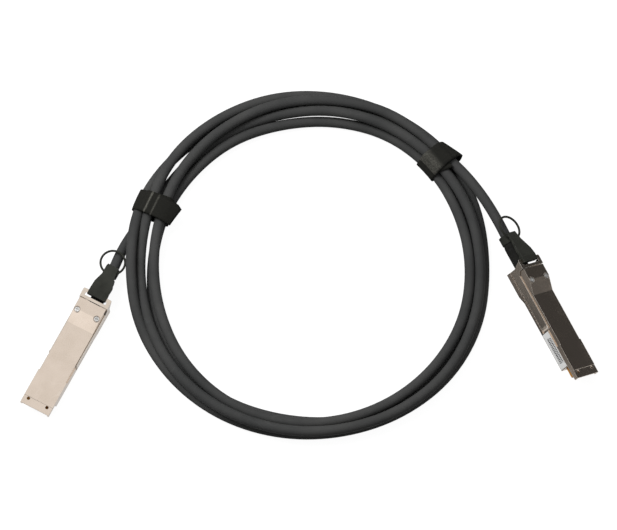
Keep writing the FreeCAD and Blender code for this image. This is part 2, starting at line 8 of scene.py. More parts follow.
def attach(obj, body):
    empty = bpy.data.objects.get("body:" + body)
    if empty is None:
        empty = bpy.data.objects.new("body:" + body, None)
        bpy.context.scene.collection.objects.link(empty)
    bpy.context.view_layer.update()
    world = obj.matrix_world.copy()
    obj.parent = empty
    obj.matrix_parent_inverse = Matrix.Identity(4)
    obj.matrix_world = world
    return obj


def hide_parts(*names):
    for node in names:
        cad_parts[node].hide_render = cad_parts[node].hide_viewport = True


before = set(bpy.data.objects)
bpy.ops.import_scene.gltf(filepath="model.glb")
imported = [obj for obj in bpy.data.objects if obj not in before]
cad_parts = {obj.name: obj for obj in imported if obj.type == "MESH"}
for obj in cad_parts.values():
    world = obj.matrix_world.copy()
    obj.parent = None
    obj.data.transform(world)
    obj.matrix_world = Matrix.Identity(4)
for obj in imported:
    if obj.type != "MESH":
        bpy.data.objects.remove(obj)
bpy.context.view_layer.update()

# ---------------------------------------------------------------------------------------------
# The studio. A plain white table under a soft lamp at the back left, a faint card of light at
# the front left and a tent, seen by a camera with a long lens above the table's front edge.
# ---------------------------------------------------------------------------------------------
COIL_MIDDLE = Vector((-0.00085, 0.03289, 0))
LOOKS_AT = COIL_MIDDLE + Vector((0.0003, 0.0002, 0.0054))
CAMERA_ELEVATION = math.radians(71.4)
LENS = 1000
SENSOR = 36
WIDTH_SEEN = 0.3536
TABLE_RADIUS = 0.36
TABLE_SIDES = 96
TABLE_BELOW = 0.0002
TABLE_WHITE = 0.15
TABLE_ROUGHNESS = 0.9
TABLE_SPECULAR = 0.1
TABLE_GLOW = 0.94
TABLE_MIRRORED = 0.6
LAMP_SIZE = 0.8
LAMP_PLACE = (-0.745, 0.463, 1.234)
LAMP_POWER = 16
CARD_SIZE = 0.5
CARD_PLACE = (-0.63, -0.48, 1.3)
CARD_POWER = 0.47


def new_tree(material):
    """A material's empty node tree, with its Principled shader and that shader's output."""
    material.use_nodes = True
    tree = material.node_tree
    tree.nodes.clear()
    shader = tree.nodes.new("ShaderNodeBsdfPrincipled")
    output = tree.nodes.new("ShaderNodeOutputMaterial")
    tree.links.new(shader.outputs["BSDF"], output.inputs["Surface"])
    return tree, shader, output


def node(tree, kind, links=None, values=None, **settings):
    """A shader node with its settings, the sockets it is fed from and its sockets' own values."""
    made = tree.nodes.new("ShaderNode" + kind)
    for name, value in settings.items():
        setattr(made, name, value)
    for name, value in (values or {}).items():
        made.inputs[name].default_value = value
    for name, source in (links or {}).items():
        tree.links.new(source, made.inputs[name])
    return made


def mix_colours(tree, factor, first, second):
    """The colour that lies between two, each a socket or an (r, g, b)."""
    mix = tree.nodes.new("ShaderNodeMix")
    mix.data_type = "RGBA"
    for number, source in ((0, factor), (6, first), (7, second)):
        if isinstance(source, bpy.types.NodeSocket):
            tree.links.new(source, mix.inputs[number])
        else:
            mix.inputs[number].default_value = (*source, 1) if number else source
    return mix.outputs[2]


def mesh_piece(name, points, faces):
    """A mesh object at the origin from an array of points and an array of faces."""
    mesh = bpy.data.meshes.new(name)
    mesh.from_pydata(np.asarray(points).tolist(), [], np.asarray(faces).tolist())
    mesh.update()
    piece = bpy.data.objects.new(name, mesh)
    bpy.context.collection.objects.link(piece)
    return piece


lens = bpy.data.cameras.new("camera")
lens.lens = LENS
lens.sensor_width = SENSOR
lens.clip_end = 100
camera = bpy.data.objects.new("camera", lens)
bpy.context.collection.objects.link(camera)
backwards = Vector((0, -math.cos(CAMERA_ELEVATION), math.sin(CAMERA_ELEVATION)))
camera.location = LOOKS_AT + backwards * WIDTH_SEEN * LENS / SENSOR
camera.rotation_euler = (-backwards).to_track_quat("-Z", "Y").to_euler()
bpy.context.scene.camera = camera
bpy.context.scene.view_settings.view_transform = "Standard"

rim = np.linspace(0, 2 * np.pi, TABLE_SIDES, endpoint=False)
disc = np.stack([TABLE_RADIUS * np.cos(rim), TABLE_RADIUS * np.sin(rim), 0 * rim], 1)
disc += np.array(COIL_MIDDLE) - (0, 0, TABLE_BELOW)
table = mesh_piece("table", disc, [list(range(len(disc)))])
# The table shows the camera a white of its own, and metal that mirrors it sees a greyer one.
table_white = bpy.data.materials.new("table_white")
tree, shader, output = new_tree(table_white)
shader.inputs["Base Color"].default_value = (TABLE_WHITE, TABLE_WHITE, TABLE_WHITE, 1)
shader.inputs["Roughness"].default_value = TABLE_ROUGHNESS
shader.inputs["Specular IOR Level"].default_value = TABLE_SPECULAR
ray = node(tree, "LightPath")
mirrored = node(tree, "Math", {0: ray.outputs["Is Glossy Ray"],
                               1: ray.outputs["Is Transmission Ray"]}, operation="ADD")
mirrored = node(tree, "Math", {0: mirrored.outputs[0]}, {1: TABLE_MIRRORED},
                operation="MULTIPLY")
glow = node(tree, "Math", {0: ray.outputs["Is Camera Ray"], 2: mirrored.outputs[0]},
            {1: TABLE_GLOW}, operation="MULTIPLY_ADD")
glow = node(tree, "Emission", {"Strength": glow.outputs[0]})
lit = node(tree, "AddShader", {0: shader.outputs["BSDF"], 1: glow.outputs["Emission"]})
tree.links.new(lit.outputs[0], output.inputs["Surface"])
table.data.materials.append(table_white)


def round_lamp(name, size, place, power):
    """A flat round lamp that faces the coil and that the camera doesn't see."""
    light = bpy.data.lights.new(name, "AREA")
    light.shape = "DISK"
    light.size = size
    light.energy = power
    lamp = bpy.data.objects.new(name, light)
    bpy.context.collection.objects.link(lamp)
    lamp.location = place
    lamp.rotation_euler = (LOOKS_AT - Vector(place)).to_track_quat("-Z", "Y").to_euler()
    lamp.visible_camera = False
    return lamp


soft_lamp = round_lamp("soft_lamp", LAMP_SIZE, LAMP_PLACE, LAMP_POWER)
soft_lamp.visible_glossy = False
round_lamp("front_card", CARD_SIZE, CARD_PLACE, CARD_POWER)

# The tent is white below the horizon, grey beside the table and white overhead, as its height
# goes from TENT_LOW to 1. Its gap is a soft round patch of dark at the back right, and the cloth
# above the front is darker than the rest.
TENT_LOW = -0.12
TENT_GREYS = ((0, 1), (0.025, 1), (0.045, 0.2), (0.24, 0.2), (0.42, 0.26), (0.64, 0.55),
              (0.82, 1), (1, 1))
GAP_DIRECTION = (0.739, 0.665, 0.105)
GAP_EDGES = (0.78, 0.95)
GAP_DARKNESS = 0.7
GAP_FLOOR = (-0.09, -0.07)
FRONT_EDGES = (-0.45, 0.05)
FRONT_HEIGHTS = (0.2, 0.5)
FRONT_DARKNESS = 0.75
tent = bpy.data.worlds.new("tent")
bpy.context.scene.world = tent
tent.use_nodes = True
tree = tent.node_tree
tree.nodes.clear()
direction = node(tree, "TexCoord")
parts = node(tree, "SeparateXYZ", {0: direction.outputs["Generated"]})
level = node(tree, "MapRange", {"Value": parts.outputs["Z"]},
             {"From Min": TENT_LOW, "From Max": 1, "To Min": 0, "To Max": 1})
tent_grey = node(tree, "ValToRGB", {"Fac": level.outputs[0]})
for place, grey in TENT_GREYS:
    stop = (tent_grey.color_ramp.elements[0] if place == 0 else
            tent_grey.color_ramp.elements[-1] if place == 1 else
            tent_grey.color_ramp.elements.new(place))
    stop.position = place
    stop.color = (grey, grey, grey, 1)
towards = node(tree, "VectorMath", {0: direction.outputs["Generated"]}, operation="DOT_PRODUCT")
towards.inputs[1].default_value = GAP_DIRECTION
gap = node(tree, "MapRange", {"Value": towards.outputs["Value"]},
           {"From Min": GAP_EDGES[0], "From Max": GAP_EDGES[1], "To Min": 0,
            "To Max": GAP_DARKNESS},
           interpolation_type="SMOOTHSTEP")
upward = node(tree, "MapRange", {"Value": parts.outputs["Z"]},
              {"From Min": GAP_FLOOR[0], "From Max": GAP_FLOOR[1], "To Min": 0, "To Max": 1})
gap = node(tree, "Math", {0: gap.outputs[0], 1: upward.outputs[0]}, operation="MULTIPLY")
tent_colour = mix_colours(tree, gap.outputs[0], tent_grey.outputs["Color"], (0, 0, 0))
shade = node(tree, "MapRange", {"Value": parts.outputs["Y"]},
             {"From Min": FRONT_EDGES[0], "From Max": FRONT_EDGES[1],
              "To Min": FRONT_DARKNESS, "To Max": 0},
             interpolation_type="SMOOTHSTEP")
above = node(tree, "MapRange", {"Value": parts.outputs["Z"]},
             {"From Min": FRONT_HEIGHTS[0], "From Max": FRONT_HEIGHTS[1], "To Min": 0,
              "To Max": 1})
shade = node(tree, "Math", {0: shade.outputs[0], 1: above.outputs[0]}, operation="MULTIPLY")
tent_colour = mix_colours(tree, shade.outputs[0], tent_colour, (0, 0, 0))
background = node(tree, "Background", {"Color": tent_colour})
node(tree, "OutputWorld", {"Surface": background.outputs[0]})

# ---------------------------------------------------------------------------------------------
# The cord: 2.8 m of 6 mm round twinax cord in a charcoal jacket, extruded in one length. It
# leaves module A, runs four and a third turns clockwise round the coil and ends in module B.
# Its turns fan out at the back and at the right, and are pressed together under the straps.
# ---------------------------------------------------------------------------------------------
CORD_DIAMETER = 0.006
CORD_ROUNDNESS = 5
CORD_STEPS = 8
MILLIMETRE = 0.001
# Each module's place from the coil's middle in millimetres, and its pitch, roll and turn in
# degrees.
PLUG_PLACES = {
    "a": ((-156.2, -87.1, -0.231), (1.5, 0, -28.3)),
    "b": ((155.2, -70.1, 4.97), (4.9, 39.4, 28.2)),
}
# The cord's way in each module's own frame, and between module and coil from the coil's middle,
# in millimetres.
ROUTE_A_PLUG = [(0, 63.5, 4), (0, 91, 4), (-2.2, 109, 3.1)]
ROUTE_A_OPEN = [(-96.2, 26.2, 4.4)]
ROUTE_B_PLUG = [(0, 63.5, 4), (0, 85.5, 4), (0.7, 107.6, 4.3)]
ROUTE_B_OPEN = [(97.6, 42.7, 14.5), (85.6, 58.5, 10.8)]
# Each turn's distance from the coil's middle and height above the table in millimetres, at equal
# steps of 20 degrees, clockwise from the first station's angle.
FIRST_STATION = 140
STATIONS_PER_TURN = 18
TURNS = [
    ((94.1, 3.7), (93.6, 4.6), (93.3, 6.8), (95.0, 8.8), (96.1, 9.9), (97.1, 10.3),
     (99.2, 9.6), (99.8, 8.5), (102.5, 8.7), (104.7, 9.0), (104.3, 9.3), (103.5, 10.7),
     (103.1, 10.6), (102.5, 10.6), (101.2, 8.4), (98.8, 7.2), (97.3, 8.1), (97.8, 11.4)),
    ((101.7, 10.5), (102.7, 9.0), (104.2, 6.3), (104.7, 3.5), (104.9, 2.7), (105.4, 4.7),
     (103.6, 3.9), (102.1, 3.0), (104.6, 3.0), (105.4, 3.0), (104.0, 3.3), (102.7, 3.3),
     (102.8, 3.1), (103.5, 3.0), (103.9, 3.0), (104.5, 7.2), (102.6, 15.2), (103.8, 9.8)),
    ((102.7, 2.7), (100.0, 3.4), (98.8, 2.8), (98.3, 3.7), (99.1, 4.6), (99.2, 4.6),
     (97.4, 3.0), (96.0, 3.0), (97.4, 3.0), (98.8, 2.9), (98.0, 3.0), (96.1, 3.0),
     (94.1, 3.0), (94.8, 3.0), (95.4, 3.0), (93.9, 3.0), (90.2, 3.7), (89.2, 4.3)),
    ((87.9, 4.5), (88.1, 4.7), (87.7, 4.0), (90.0, 3.0), (92.7, 3.6), (92.9, 5.5),
     (92.5, 7.2), (93.9, 8.7), (96.0, 8.8), (96.7, 8.9), (97.3, 9.1), (97.6, 8.9),
     (97.5, 8.1), (96.6, 8.9), (93.8, 9.2), (90.7, 9.1), (89.4, 9.8), (90.2, 10.3)),
    ((93.4, 9.8), (95.9, 10.7), (99.0, 10.6), (101.1, 9.6), (104.3, 8.4)),
]


def plug_matrix(plug):
    """A module's own frame in metres: rolled about its length, pitched, then turned about Z."""
    place, turns = PLUG_PLACES[plug]
    pitch, roll, yaw = (math.radians(turn) for turn in turns)
    turn = (Matrix.Rotation(yaw, 4, "Z") @ Matrix.Rotation(pitch, 4, "X")
            @ Matrix.Rotation(roll, 4, "Y"))
    return Matrix.Translation(COIL_MIDDLE + Vector(place) * MILLIMETRE) @ turn


def in_plug(plug, points):
    """Points of a module's own frame, given in millimetres, as places in the scene."""
    return [plug_matrix(plug) @ (Vector(point) * MILLIMETRE) for point in points]


def round_coil(points):
    """Points measured from the middle of the coil, in millimetres, as places in the scene."""
    return [COIL_MIDDLE + Vector(point) * MILLIMETRE for point in points]


def coil_turns():
    """The stations of every turn, clockwise: radius and height at equal steps of angle."""
    stations = []
    for number, (radius, height) in enumerate(station for turn in TURNS for station in turn):
        angle = math.radians(FIRST_STATION - number * 360 / STATIONS_PER_TURN)
        stations.append((radius * math.cos(angle), radius * math.sin(angle), height))
    return round_coil(stations)


route = in_plug("a", ROUTE_A_PLUG) + round_coil(ROUTE_A_OPEN) + coil_turns()
route += round_coil(ROUTE_B_OPEN)[::-1] + in_plug("b", ROUTE_B_PLUG)[::-1]

cord_line = bpy.data.curves.new("twinax_cord", "CURVE")
cord_line.dimensions = "3D"
cord_line.bevel_depth = CORD_DIAMETER / 2
cord_line.bevel_resolution = CORD_ROUNDNESS
cord_line.resolution_u = CORD_STEPS
cord_line.render_resolution_u = CORD_STEPS
cord_line.use_fill_caps = True
spline = cord_line.splines.new("NURBS")
spline.points.add(len(route) - 1)
for point, place in zip(spline.points, route):
    point.co = (*place, 1)
spline.order_u = 3
spline.use_endpoint_u = True
spline.use_smooth = True
cord = bpy.data.objects.new("twinax_cord", cord_line)
bpy.context.collection.objects.link(cord)

# How a surface varies: a fine grain, broad soft patches and sparse fine scratches. A noise's
# values lie mostly within its spread.
NOISE_SPREAD = (0.3, 0.7)
SCRATCH_WIDTH = 0.006
grain_group = bpy.data.node_groups.new("surface_grain", "ShaderNodeTree")
for name, value in (("Grain Scale", 3000), ("Patch Scale", 60), ("Scratch Scale", 150)):
    socket = grain_group.interface.new_socket(name, in_out="INPUT", socket_type="NodeSocketFloat")
    socket.default_value = value
for name in ("Grain", "Patches", "Scratches"):
    grain_group.interface.new_socket(name, in_out="OUTPUT", socket_type="NodeSocketFloat")
group_in = grain_group.nodes.new("NodeGroupInput")
group_out = grain_group.nodes.new("NodeGroupOutput")
place = node(grain_group, "TexCoord").outputs["Object"]
fine = node(grain_group, "TexNoise",
            {"Vector": place, "Scale": group_in.outputs["Grain Scale"]},
            {"Detail": 3, "Roughness": 0.6})
broad = node(grain_group, "TexNoise",
             {"Vector": place, "Scale": group_in.outputs["Patch Scale"]},
             {"Detail": 4, "Roughness": 0.55})
# A scratch is where a slow, twisted noise passes through its middle value.
scratch = node(grain_group, "TexNoise",
               {"Vector": place, "Scale": group_in.outputs["Scratch Scale"]},
               {"Detail": 1, "Distortion": 1.5})
scratch = node(grain_group, "Math", {0: scratch.outputs["Fac"]}, {1: 0.5},
               operation="SUBTRACT")
scratch = node(grain_group, "Math", {0: scratch.outputs[0]}, operation="ABSOLUTE")
scratch = node(grain_group, "MapRange", {"Value": scratch.outputs[0]},
               {"From Min": 0, "From Max": SCRATCH_WIDTH, "To Min": 1, "To Max": 0})
grain_group.links.new(fine.outputs["Fac"], group_out.inputs["Grain"])
grain_group.links.new(broad.outputs["Fac"], group_out.inputs["Patches"])
grain_group.links.new(scratch.outputs[0], group_out.inputs["Scratches"])


def group(tree, node_tree, **values):
    """A node group placed in a material with its own values, written with _ for a space."""
    placed = tree.nodes.new("ShaderNodeGroup")
    placed.node_tree = node_tree
    for name, value in values.items():
        placed.inputs[name.replace("_", " ")].default_value = value
    return placed


def ranged(tree, source, low, high, start=0.0, end=1.0):
    """A value between start and end as the source goes from low to high."""
    made = node(tree, "MapRange", {"Value": source},
                {"From Min": low, "From Max": high, "To Min": start, "To Max": end})
    return made.outputs[0]


def bump(tree, shader, height, distance, normal=None):
    """Feeds the shader's normal from a height whose 0 to 1 stands for a distance in metres."""
    relief = node(tree, "Bump", {"Height": height}, {"Strength": 1, "Distance": distance})
    if normal:
        tree.links.new(normal, relief.inputs["Normal"])
    tree.links.new(relief.outputs["Normal"], shader.inputs["Normal"])


JACKET_DARK = (0.046, 0.047, 0.047)
JACKET_PALE = (0.066, 0.066, 0.065)
JACKET_SCUFF = (0.12, 0.12, 0.12)
JACKET_SCUFFED = 0.12
JACKET_ROUGHNESS = (0.44, 0.54)
JACKET_SPECULAR = 0.025
JACKET_GRAIN_DEPTH = 0.00006
cord_jacket = bpy.data.materials.new("cord_jacket")
tree, shader, output = new_tree(cord_jacket)
grain = group(tree, grain_group, Grain_Scale=2200, Patch_Scale=45, Scratch_Scale=35)
colour = mix_colours(tree, ranged(tree, grain.outputs["Patches"], *NOISE_SPREAD), JACKET_DARK,
                     JACKET_PALE)
scuffs = ranged(tree, grain.outputs["Scratches"], 0, 1, 0, JACKET_SCUFFED)
colour = mix_colours(tree, scuffs, colour, JACKET_SCUFF)
tree.links.new(colour, shader.inputs["Base Color"])
tree.links.new(ranged(tree, grain.outputs["Patches"], *NOISE_SPREAD, *JACKET_ROUGHNESS),
               shader.inputs["Roughness"])
shader.inputs["Specular IOR Level"].default_value = JACKET_SPECULAR
bump(tree, shader, grain.outputs["Grain"], JACKET_GRAIN_DEPTH)
cord_line.materials.append(cord_jacket)

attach(cord, "cable")
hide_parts("cable_coil", "cable_lead_a", "cable_lead_b")

# ---------------------------------------------------------------------------------------------
# The straps: 13 mm hook-and-loop tape woven of black nylon, wrapped once round all the turns
# of the coil and lapped over itself on top. The left one's cut tail comes off the bundle.
# ---------------------------------------------------------------------------------------------
TAPE_WIDTH = 0.0132
TAPE_THICKNESS = 0.001
TAPE_CLEARANCE = 0.00012
SLICES = 9
PATH_STEPS = 240
TAIL_STEPS = 8
BUNDLE_REACH = 0.03
DIRECTIONS = 361
LEAST_FACING = 0.02
# The turns are read a little inside the tape's edges.
READ_WIDTH = 0.96
# Where the upper layer climbs onto the lower one, in degrees short of a full turn, and how far
# each layer lies from the last in thicknesses of tape.
CLIMB_START = 24
CLIMB_RUN = 18
CLIMB = 1.08
# How far round the loose bulge of a strap reaches, and how much of it each edge of the tape has.
SLACK_SPREAD = 0.6
SLACK_MIDDLE = 0.6
SLACK_TWIST = 0.8
RIDGE_WIDTH = 0.0004
RIDGE_HEIGHT = 0.00025


def centreline(curve_object):
    """The points that a curve's spline passes through: its mesh with no bevel."""
    bare = curve_object.data.copy()
    bare.bevel_depth = 0
    carrier = bpy.data.objects.new("bare_line", bare)
    mesh = bpy.data.meshes.new_from_object(carrier)
    points = np.empty(len(mesh.vertices) * 3)
    mesh.vertices.foreach_get("co", points)
    bpy.data.objects.remove(carrier)
    bpy.data.curves.remove(bare)
    bpy.data.meshes.remove(mesh)
    return points.reshape(-1, 3)


def strands_at(line, plane):
    """Where the cord's points cross one plane of a strap's own frame: the (across, height) of
    each strand, interpolated between the two points on either side."""
    before, after = line[:-1], line[1:]
    hit = (before[:, 1] - plane) * (after[:, 1] - plane) < 0
    hit &= np.abs(before[:, 0]) < BUNDLE_REACH
    share = (plane - before[hit, 1]) / (after[hit, 1] - before[hit, 1])
    return (before[hit] + share[:, None] * (after[hit] - before[hit]))[:, [0, 2]]


def tight_line(strands, reach, angles, slack):
    """The tightest closed line round circles of one radius. In each direction n the furthest
    circle reaches h = max(centre . n) + reach, and the line's distance from the middle of the
    strands at an angle is the least of h / cos(angle - direction), plus the slack there."""
    middle = strands.mean(0)
    direction = np.linspace(0, 2 * np.pi, DIRECTIONS)
    normal = np.stack([np.cos(direction), np.sin(direction)], 1)
    support = ((strands - middle) @ normal.T).max(0) + reach[:, None]
    facing = np.cos(angles[:, None] - direction[None, :])
    distance = support / np.maximum(facing, LEAST_FACING)
    distance = np.where(facing > LEAST_FACING, distance, np.inf).min(1) + slack
    return middle + distance[:, None] * np.stack([np.cos(angles), np.sin(angles)], 1)


def smooth(value):
    """0 below 0, 1 above 1 and 3v^2 - 2v^3 between."""
    value = np.clip(value, 0, 1)
    return value * value * (3 - 2 * value)


def grid_faces(rows, columns):
    """The quads of a grid of points numbered row by row."""
    corner = np.arange(rows * columns).reshape(rows, columns)
    return np.stack([corner[:-1, :-1], corner[:-1, 1:], corner[1:, 1:], corner[1:, :-1]],
                    -1).reshape(-1, 4)


def put_on_corners(mesh, name, values):
    """A UV map from one (u, v) for each vertex of the mesh."""
    corners = np.empty(len(mesh.loops), int)
    mesh.loops.foreach_get("vertex_index", corners)
    layer = mesh.uv_layers.new(name=name)
    layer.data.foreach_set("uv", values[corners].ravel())


def tape_surface(line, shape):
    """The middle surface of one strap, a grid of (steps, slices) places in the strap's frame.
    Each slice follows the tight line from the start of the under layer once round, then on over
    it, and leaves the bundle along the last step's direction for the tail's length, which its
    place across the tape gives. The tape slides sideways by its skew, which the angle gives."""
    start, end = math.radians(shape["start"]), math.radians(360 + shape["end"])
    angles = np.linspace(start, end, PATH_STEPS)
    climb = angles - start - 2 * np.pi + math.radians(CLIMB_START)
    layer = smooth(climb / math.radians(CLIMB_RUN))
    reach = CORD_DIAMETER / 2 + TAPE_CLEARANCE + TAPE_THICKNESS * (0.5 + CLIMB * layer)
    loop = (angles - math.radians(shape["slack_at"])) / SLACK_SPREAD
    loop = shape["slack"] * np.exp(-loop ** 2)
    skew = np.interp(np.degrees(angles), *zip(*shape["skew"])) * MILLIMETRE
    skew = np.concatenate([skew, np.full(TAIL_STEPS, skew[-1])])
    slices = []
    for across in np.linspace(-TAPE_WIDTH / 2, TAPE_WIDTH / 2, SLICES):
        slack = loop * (SLACK_MIDDLE - SLACK_TWIST * across / TAPE_WIDTH)
        path = tight_line(strands_at(line, across * READ_WIDTH), reach, angles, slack)
        step = path[-1] - path[-3]
        length = np.interp(across / MILLIMETRE, *zip(*shape["tail"])) * MILLIMETRE
        share = np.linspace(0, 1, TAIL_STEPS + 1)[1:, None]
        tail = path[-1] + step / np.linalg.norm(step) * length * share
        tail[:, 1] += shape["lift"] * share[:, 0] ** 2
        path = np.concatenate([path, tail])
        slices.append(np.stack([path[:, 0], across + skew, path[:, 1]], 1))
    return np.stack(slices, 1)


STRAP_ROUGHNESS = (0.78, 0.95)
STRAP_SPECULAR = 0.06
STRAP_WEAVE_DEPTH = 0.00022
STRAP_DARK = (0.012, 0.012, 0.011)
STRAP_PALE = (0.033, 0.033, 0.028)
STRAP_PALE_SIDE_AND_GLINT = (0.2, 0.195, 0.17)
# Waves of the weave in a metre, across the tape and along it.
WEAVE_ACROSS = 1900
WEAVE_ALONG = 1250
FUZZ_SPREAD = (0.1, 0.5)
# How much of the paler inner side and of the painted glint on the ridges the weave's threads
# and the broad patches let through: from, to, least and most.
LIGHTENED_THREADS = (0.2, 0.8, 0.1, 1)
LIGHTENED_PATCHES = (0.4, 0.6, 0.45, 1.2)

strap_nylon = bpy.data.materials.new("strap_nylon")
tree, shader, output = new_tree(strap_nylon)
flat_place = node(tree, "UVMap", uv_map="tape")
flat_place = node(tree, "SeparateXYZ", {0: flat_place.outputs["UV"]})
along = node(tree, "Math", {0: flat_place.outputs["X"]}, {1: 2 * math.pi * WEAVE_ALONG},
             operation="MULTIPLY")
along = node(tree, "Math", {0: along.outputs[0]}, operation="SINE")
across = node(tree, "Math", {0: flat_place.outputs["Y"]}, {1: 2 * math.pi * WEAVE_ACROSS},
              operation="MULTIPLY")
across = node(tree, "Math", {0: across.outputs[0]}, operation="SINE")
weave = node(tree, "Math", {0: along.outputs[0], 1: across.outputs[0]}, operation="MULTIPLY")
weave = ranged(tree, weave.outputs[0], -1, 1)
grain = group(tree, grain_group, Grain_Scale=4200, Patch_Scale=1300, Scratch_Scale=60)
# The lighter marks are the paler inner side and a painted glint along the ridges, let through by
# the weave's threads and the broad patches.
pale_side_and_glint = node(tree, "Attribute", attribute_name="pale_side_and_glint")
fuzz = node(tree, "Math", {0: weave, 1: grain.outputs["Grain"]}, operation="MULTIPLY")
colour = mix_colours(tree, ranged(tree, fuzz.outputs[0], *FUZZ_SPREAD), STRAP_DARK, STRAP_PALE)
threads = ranged(tree, weave, *LIGHTENED_THREADS)
patches = ranged(tree, grain.outputs["Patches"], *LIGHTENED_PATCHES)
lighter = node(tree, "Math", {0: pale_side_and_glint.outputs["Fac"], 1: threads}, operation="MULTIPLY")
lighter = node(tree, "Math", {0: lighter.outputs[0], 1: patches}, operation="MULTIPLY")
colour = mix_colours(tree, lighter.outputs[0], colour, STRAP_PALE_SIDE_AND_GLINT)
tree.links.new(colour, shader.inputs["Base Color"])
tree.links.new(ranged(tree, grain.outputs["Grain"], *NOISE_SPREAD, *STRAP_ROUGHNESS),
               shader.inputs["Roughness"])
shader.inputs["Specular IOR Level"].default_value = STRAP_SPECULAR
bump(tree, shader, fuzz.outputs[0], STRAP_WEAVE_DEPTH)

# Each strap lies at an angle round the coil and is turned to the turns' own direction there. In
# its frame X runs to the outside, Y along the bundle and Z up, and its angles, in degrees, go
# round the bundle from X to Z. The tail's lengths and the skew are pairs, in millimetres: place
# across and length, angle and skew. The rest is in metres: the tail's lift, the slack, the
# ridges, as places on X and how strongly each is lit by a painted glint, and the place where
# the paler inner side begins.
UPPER_LAYER_FROM = 340
UPPER_LAYER_RUN = 30
PALE_STRENGTH = 0.6
PALE_RUN = 0.004
STRAPS = {
    "strap_left": {"place": 159.2, "turn": 155, "radius": 93.7, "start": 58, "end": 118,
                   "tail": ((-6.6, 8.3), (-4.95, 11.2), (6.6, 8.8)), "lift": -0.0030,
                   "slack": 0, "slack_at": 360,
                   "skew": ((58, 0), (140, -1.6), (240, -1.6), (330, 0), (478, 0)),
                   "ridges": ((0.0042, 1), (0.0001, 0.6)), "pale_from": None},
    "strap_right": {"place": 40.0, "turn": 39, "radius": 97.2, "start": 72, "end": 150,
                    "tail": ((-6.6, 0.8), (6.6, 0.8)), "lift": 0,
                    "slack": 0.0034, "slack_at": 368,
                    "skew": ((72, -3.4), (147, 0), (510, 0)),
                    "ridges": (), "pale_from": 0.0005},
}
for name, shape in STRAPS.items():
    middle = COIL_MIDDLE + Matrix.Rotation(math.radians(shape["place"]), 3, "Z") @ Vector(
        (shape["radius"] * MILLIMETRE, 0, 0))
    turn = np.array(Matrix.Rotation(math.radians(shape["turn"]), 3, "Z"))
    surface = tape_surface((centreline(cord) - np.array(middle)) @ turn, shape)
    rows, columns = surface.shape[:2]
    around = shape["start"] + np.arange(rows) / (PATH_STEPS - 1) * (
        360 + shape["end"] - shape["start"])
    on_top = smooth((around - UPPER_LAYER_FROM) / UPPER_LAYER_RUN)[:, None]
    pale_side_and_glint = np.zeros((rows, columns))
    # Each ridge is raised a little and lit by a painted glint where the tape bends over a strand.
    for ridge, strength in shape["ridges"]:
        pale_side_and_glint += strength * np.exp(-((surface[:, :, 0] - ridge) / RIDGE_WIDTH) ** 2) * on_top
    surface[:, :, 2] += RIDGE_HEIGHT * pale_side_and_glint
    if shape["pale_from"] is not None:
        pale = smooth((shape["pale_from"] - surface[:, :, 0]) / PALE_RUN)
        pale_side_and_glint += PALE_STRENGTH * pale * on_top
    step = np.linalg.norm(np.diff(surface, axis=0, prepend=surface[:1]), axis=2)
    flat = np.stack([np.cumsum(step, 0), surface[:, :, 1]], -1).reshape(-1, 2)
    places = surface.reshape(-1, 3) @ turn.T + np.array(middle)
    strap = mesh_piece(name + "_tape", places, grid_faces(rows, columns)[:, ::-1])
    put_on_corners(strap.data, "tape", flat)
    strap.data.attributes.new("pale_side_and_glint", "FLOAT", "POINT").data.foreach_set("value", pale_side_and_glint.ravel())
    strap.data.shade_smooth()
    strap.data.materials.append(strap_nylon)
    wall = strap.modifiers.new("thickness", "SOLIDIFY")
    wall.thickness = TAPE_THICKNESS
    wall.offset = 0
    wall.use_rim = True
    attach(strap, "cable")
    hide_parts(name)

# ---------------------------------------------------------------------------------------------
# The module housings: an upper and a lower shell of cast zinc under bright nickel, held by two
# cross-head screws. The plating is bright with faint clouds. Its edges are duller from rubbing
# and paler, partly from rubbing and partly as a painted edge highlight.
# ---------------------------------------------------------------------------------------------
# A small round on sharp edges, as a normal, and a mask of where those edges are: where the
# rounded normal and the surface's own agree less.
AGREEMENT = (0.995, 0.86)
edge_group = bpy.data.node_groups.new("rounded_edge_mask", "ShaderNodeTree")
socket = edge_group.interface.new_socket("Radius", in_out="INPUT", socket_type="NodeSocketFloat")
socket.default_value = 0.0002
edge_group.interface.new_socket("Edge", in_out="OUTPUT", socket_type="NodeSocketFloat")
edge_group.interface.new_socket("Normal", in_out="OUTPUT", socket_type="NodeSocketVector")
group_in = edge_group.nodes.new("NodeGroupInput")
group_out = edge_group.nodes.new("NodeGroupOutput")
rounded = node(edge_group, "Bevel", {"Radius": group_in.outputs["Radius"]}, samples=6)
surface_normal = node(edge_group, "NewGeometry")
agreement = node(edge_group, "VectorMath", {0: rounded.outputs["Normal"],
                                            1: surface_normal.outputs["Normal"]},
                 operation="DOT_PRODUCT")
edge = node(edge_group, "MapRange", {"Value": agreement.outputs["Value"]},
            {"From Min": AGREEMENT[0], "From Max": AGREEMENT[1], "To Min": 0, "To Max": 1})
edge_group.links.new(edge.outputs[0], group_out.inputs["Edge"])
edge_group.links.new(rounded.outputs["Normal"], group_out.inputs["Normal"])

EDGE_ROUGHNESS = 0.4
METAL_SCRATCHED = 0.25
METAL_PATCHES = (0.35, 0.65)


